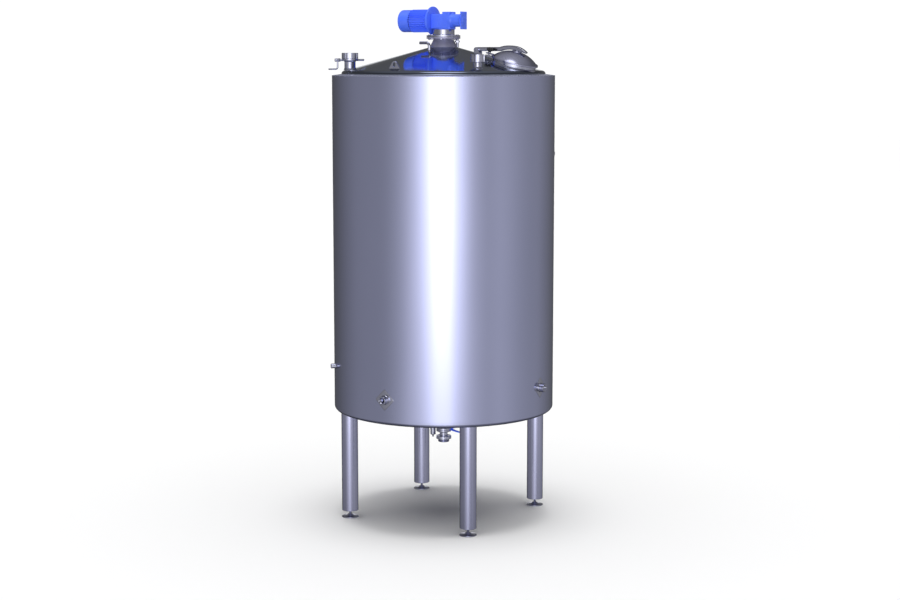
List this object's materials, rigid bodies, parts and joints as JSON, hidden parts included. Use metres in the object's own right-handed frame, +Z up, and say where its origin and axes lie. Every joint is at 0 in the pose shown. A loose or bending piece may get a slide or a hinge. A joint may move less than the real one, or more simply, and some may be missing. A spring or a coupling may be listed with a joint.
{
  "type": "bulk milk tank",
  "caption": "Upright insulated cylindrical milk tank on legs with conical roof, top agitator drive, domed manway, roof nozzles and a bottom outlet valve.",
  "frame": {"origin": "floor level under the vertical axis of the tank", "axes": "+Z up along the tank axis, drive motor towards -X, manway towards +X"},
  "size_m": [1.568, 1.568, 3.5312],
  "materials": {
    "polished_steel": "bright polished stainless sheet",
    "vessel_steel": "smooth stainless plate",
    "fitting_steel": "turned and satin stainless",
    "drive_paint": "semi-gloss blue enamel",
    "handle_paint": "blue coated steel",
    "seal_rubber": "food-grade elastomer",
    "knob_plastic": "moulded black plastic",
    "foam": "rigid foam",
    "gear_steel": "machined steel"
  },
  "bodies": {
    "tank": {"agitator_neck": "fitting_steel", "bearings": "gear_steel", "cip_nozzle": "fitting_steel", "cladding_floor": "polished_steel", "cladding_shell": "polished_steel", "closing_ring": "polished_steel", "cooling_jacket": "vessel_steel", "fan_cowl": "drive_paint", "flange_bolts": "fitting_steel", "gearbox_cover": "drive_paint", "gearbox_housing": "drive_paint", "hinge_bracket": "fitting_steel", "hinge_pin": "fitting_steel", "inlet_valve_body": "fitting_steel", "insulation": "foam", "jacket_sockets": "fitting_steel", "lantern": "fitting_steel", "legs": "polished_steel", "level_probe": "fitting_steel", "lifting_lugs": "fitting_steel", "manway_collar": "fitting_steel", "motor_flange": "drive_paint", "motor_housing": "drive_paint", "neck_gasket": "seal_rubber", "outlet_adapter": "fitting_steel", "outlet_pipe": "fitting_steel", "outlet_valve_body": "fitting_steel", "rosettes": "polished_steel", "sample_cock": "fitting_steel", "sensor_sleeves": "fitting_steel", "shaft_seal": "seal_rubber", "spray_ball": "fitting_steel", "stator": "gear_steel", "support_ring": "vessel_steel", "terminal_box": "drive_paint", "union_nuts": "fitting_steel", "vent_bend": "fitting_steel", "vessel_bottom": "vessel_steel", "vessel_roof": "polished_steel", "vessel_shell": "vessel_steel"},
    "agitator": {"agitator_shaft": "vessel_steel", "hollow_shaft": "gear_steel", "impellers": "vessel_steel", "bevel_wheel": "gear_steel"},
    "motor_rotor": {"rotor": "gear_steel", "fan": "knob_plastic", "bevel_pinion": "gear_steel"},
    "manway_lid": {"manway_lid": "fitting_steel", "manway_gasket": "seal_rubber", "lid_arm": "fitting_steel"},
    "lid_clamp": {"clamp_screw": "fitting_steel", "star_knob": "knob_plastic"},
    "inlet_valve": {"inlet_valve_disc": "fitting_steel", "inlet_lever": "fitting_steel"},
    "outlet_valve": {"outlet_valve_disc": "fitting_steel", "outlet_handle": "handle_paint"},
    "front_left_foot": {"foot_front_left": "fitting_steel"},
    "front_right_foot": {"foot_front_right": "fitting_steel"},
    "rear_left_foot": {"foot_rear_left": "fitting_steel"},
    "rear_right_foot": {"foot_rear_right": "fitting_steel"}
  },
  "joints": [
    {"name": "agitator_spin", "type": "hinge", "parent": "tank", "child": "agitator", "pos_m": [0, 0, 3.43425], "axis": [0, 0, 1], "continuous": true},
    {"name": "motor_spin", "type": "hinge", "parent": "tank", "child": "motor_rotor", "pos_m": [0, 0, 3.43425], "axis": [1, 0, 0], "continuous": true},
    {"name": "lid_hinge", "type": "hinge", "parent": "tank", "child": "manway_lid", "pos_m": [0.272, 0, 3.23672], "axis": [0, -1, 0], "range_deg": [0, 95]},
    {"name": "clamp_knob_turn", "type": "hinge", "parent": "manway_lid", "child": "lid_clamp", "pos_m": [0.38483, -0.047, 3.2092], "axis": [0.2588, 0, 0.9659], "continuous": true},
    {"name": "inlet_lever_turn", "type": "hinge", "parent": "tank", "child": "inlet_valve", "pos_m": [-0.46103, -0.46103, 3.16855], "axis": [-0.7071, -0.7071, 0], "range_deg": [0, 90]},
    {"name": "outlet_handle_turn", "type": "hinge", "parent": "tank", "child": "outlet_valve", "pos_m": [0, 0, 0.58911], "axis": [0, 1, 0], "range_deg": [0, 90]},
    {"name": "front_left_levelling", "type": "slide", "parent": "tank", "child": "front_left_foot", "axis": [0, 0, 1], "range_m": [-0.02, 0.02]},
    {"name": "front_right_levelling", "type": "slide", "parent": "tank", "child": "front_right_foot", "axis": [0, 0, 1], "range_m": [-0.02, 0.02]},
    {"name": "rear_left_levelling", "type": "slide", "parent": "tank", "child": "rear_left_foot", "axis": [0, 0, 1], "range_m": [-0.02, 0.02]},
    {"name": "rear_right_levelling", "type": "slide", "parent": "tank", "child": "rear_right_foot", "axis": [0, 0, 1], "range_m": [-0.02, 0.02]}
  ],
  "couplings": [
    {"joint": "motor_spin", "follows": "agitator_spin", "ratio": -3}
  ]
}
